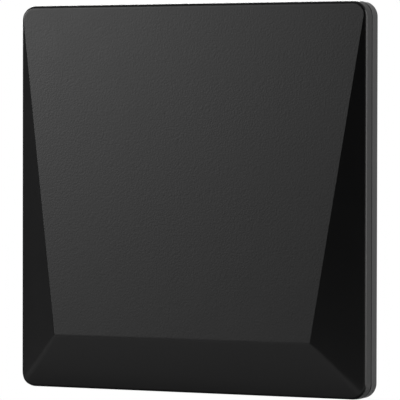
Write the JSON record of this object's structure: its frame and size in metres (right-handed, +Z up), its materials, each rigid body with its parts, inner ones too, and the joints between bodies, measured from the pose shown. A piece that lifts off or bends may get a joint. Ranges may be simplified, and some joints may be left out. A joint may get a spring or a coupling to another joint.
{
  "type": "cellular signal booster",
  "caption": "Flat square signal booster panel with a faceted black front cover, on a wall bracket that swivels and tilts and is clamped by a knob.",
  "frame": {"origin": "middle of the wall plate's back face, which lies on the wall", "axes": "+Z up, -Y the way the panel faces, +Y into the wall, +X to the right as seen from the front"},
  "size_m": [0.21, 0.087, 0.21],
  "materials": {
    "cover_black": "fine moulded grain on the middle face, smooth satin on the facets and walls",
    "seal_rubber": "matte",
    "zinc_steel": "zinc plated",
    "coated_black": "powder coated",
    "knob_black": "moulded satin",
    "sheet_aluminium": "mill finish",
    "bare_copper": "bare copper sheet",
    "turned_brass": "turned",
    "bright_nickel": "nickel plated brass",
    "tinned_sheet": "tinned",
    "natural_nylon": "natural",
    "board_green": "lacquered laminate",
    "chip_resin": "matte",
    "filter_ceramic": "fired ceramic",
    "lead_jacket": "smooth jacket"
  },
  "bodies": {
    "wall": {"wall_plate": "coated_black", "swivel_bolt": "zinc_steel", "swivel_washer": "zinc_steel", "swivel_nut": "zinc_steel"},
    "arm": {"swivel_arm": "coated_black"},
    "panel": {"front_cover": "cover_black", "rear_cover": "cover_black", "socket_housing": "cover_black", "cover_seal": "seal_rubber", "cover_screw_1": "zinc_steel", "cover_screw_2": "zinc_steel", "cover_screw_3": "zinc_steel", "cover_screw_4": "zinc_steel", "cover_screw_5": "zinc_steel", "cover_screw_6": "zinc_steel", "reflector_plate": "sheet_aluminium", "reflector_screw_1": "zinc_steel", "reflector_screw_2": "zinc_steel", "reflector_screw_3": "zinc_steel", "reflector_screw_4": "zinc_steel", "driven_patch": "bare_copper", "parasitic_patch": "bare_copper", "patch_spacer_1": "natural_nylon", "patch_spacer_2": "natural_nylon", "patch_spacer_3": "natural_nylon", "patch_spacer_4": "natural_nylon", "feed_pin": "turned_brass", "amplifier_board": "board_green", "board_screw_1": "zinc_steel", "board_screw_2": "zinc_steel", "board_screw_3": "zinc_steel", "board_screw_4": "zinc_steel", "uplink_shield": "tinned_sheet", "downlink_shield": "tinned_sheet", "uplink_amplifier": "chip_resin", "downlink_amplifier": "chip_resin", "band_filter_1": "filter_ceramic", "band_filter_2": "filter_ceramic", "aerial_plug": "turned_brass", "aerial_pigtail": "lead_jacket", "jack_pigtail": "lead_jacket", "coax_jack": "bright_nickel", "jack_insulator": "natural_nylon", "jack_contact": "turned_brass", "jack_seal_ring": "seal_rubber", "jack_washer": "zinc_steel", "jack_nut": "bright_nickel", "bracket_insert_1": "turned_brass", "bracket_insert_2": "turned_brass", "bracket_insert_3": "turned_brass", "bracket_insert_4": "turned_brass", "panel_bracket": "coated_black", "bracket_screw_1": "zinc_steel", "bracket_screw_2": "zinc_steel", "bracket_screw_3": "zinc_steel", "bracket_screw_4": "zinc_steel", "tilt_bolt": "zinc_steel", "tilt_washer": "zinc_steel"},
    "knob": {"tilt_knob": "knob_black"}
  },
  "joints": [
    {"name": "swivel", "type": "hinge", "parent": "wall", "child": "arm", "pos_m": [0, -0.014, 0], "axis": [0, 0, 1], "range_deg": [-15, 15]},
    {"name": "tilt", "type": "hinge", "parent": "arm", "child": "panel", "pos_m": [0, -0.044, 0], "axis": [1, 0, 0], "range_deg": [-15, 15]},
    {"name": "knob_turn", "type": "hinge", "parent": "panel", "child": "knob", "pos_m": [0.0146, -0.044, 0], "axis": [1, 0, 0], "range_deg": [0, 180]}
  ]
}
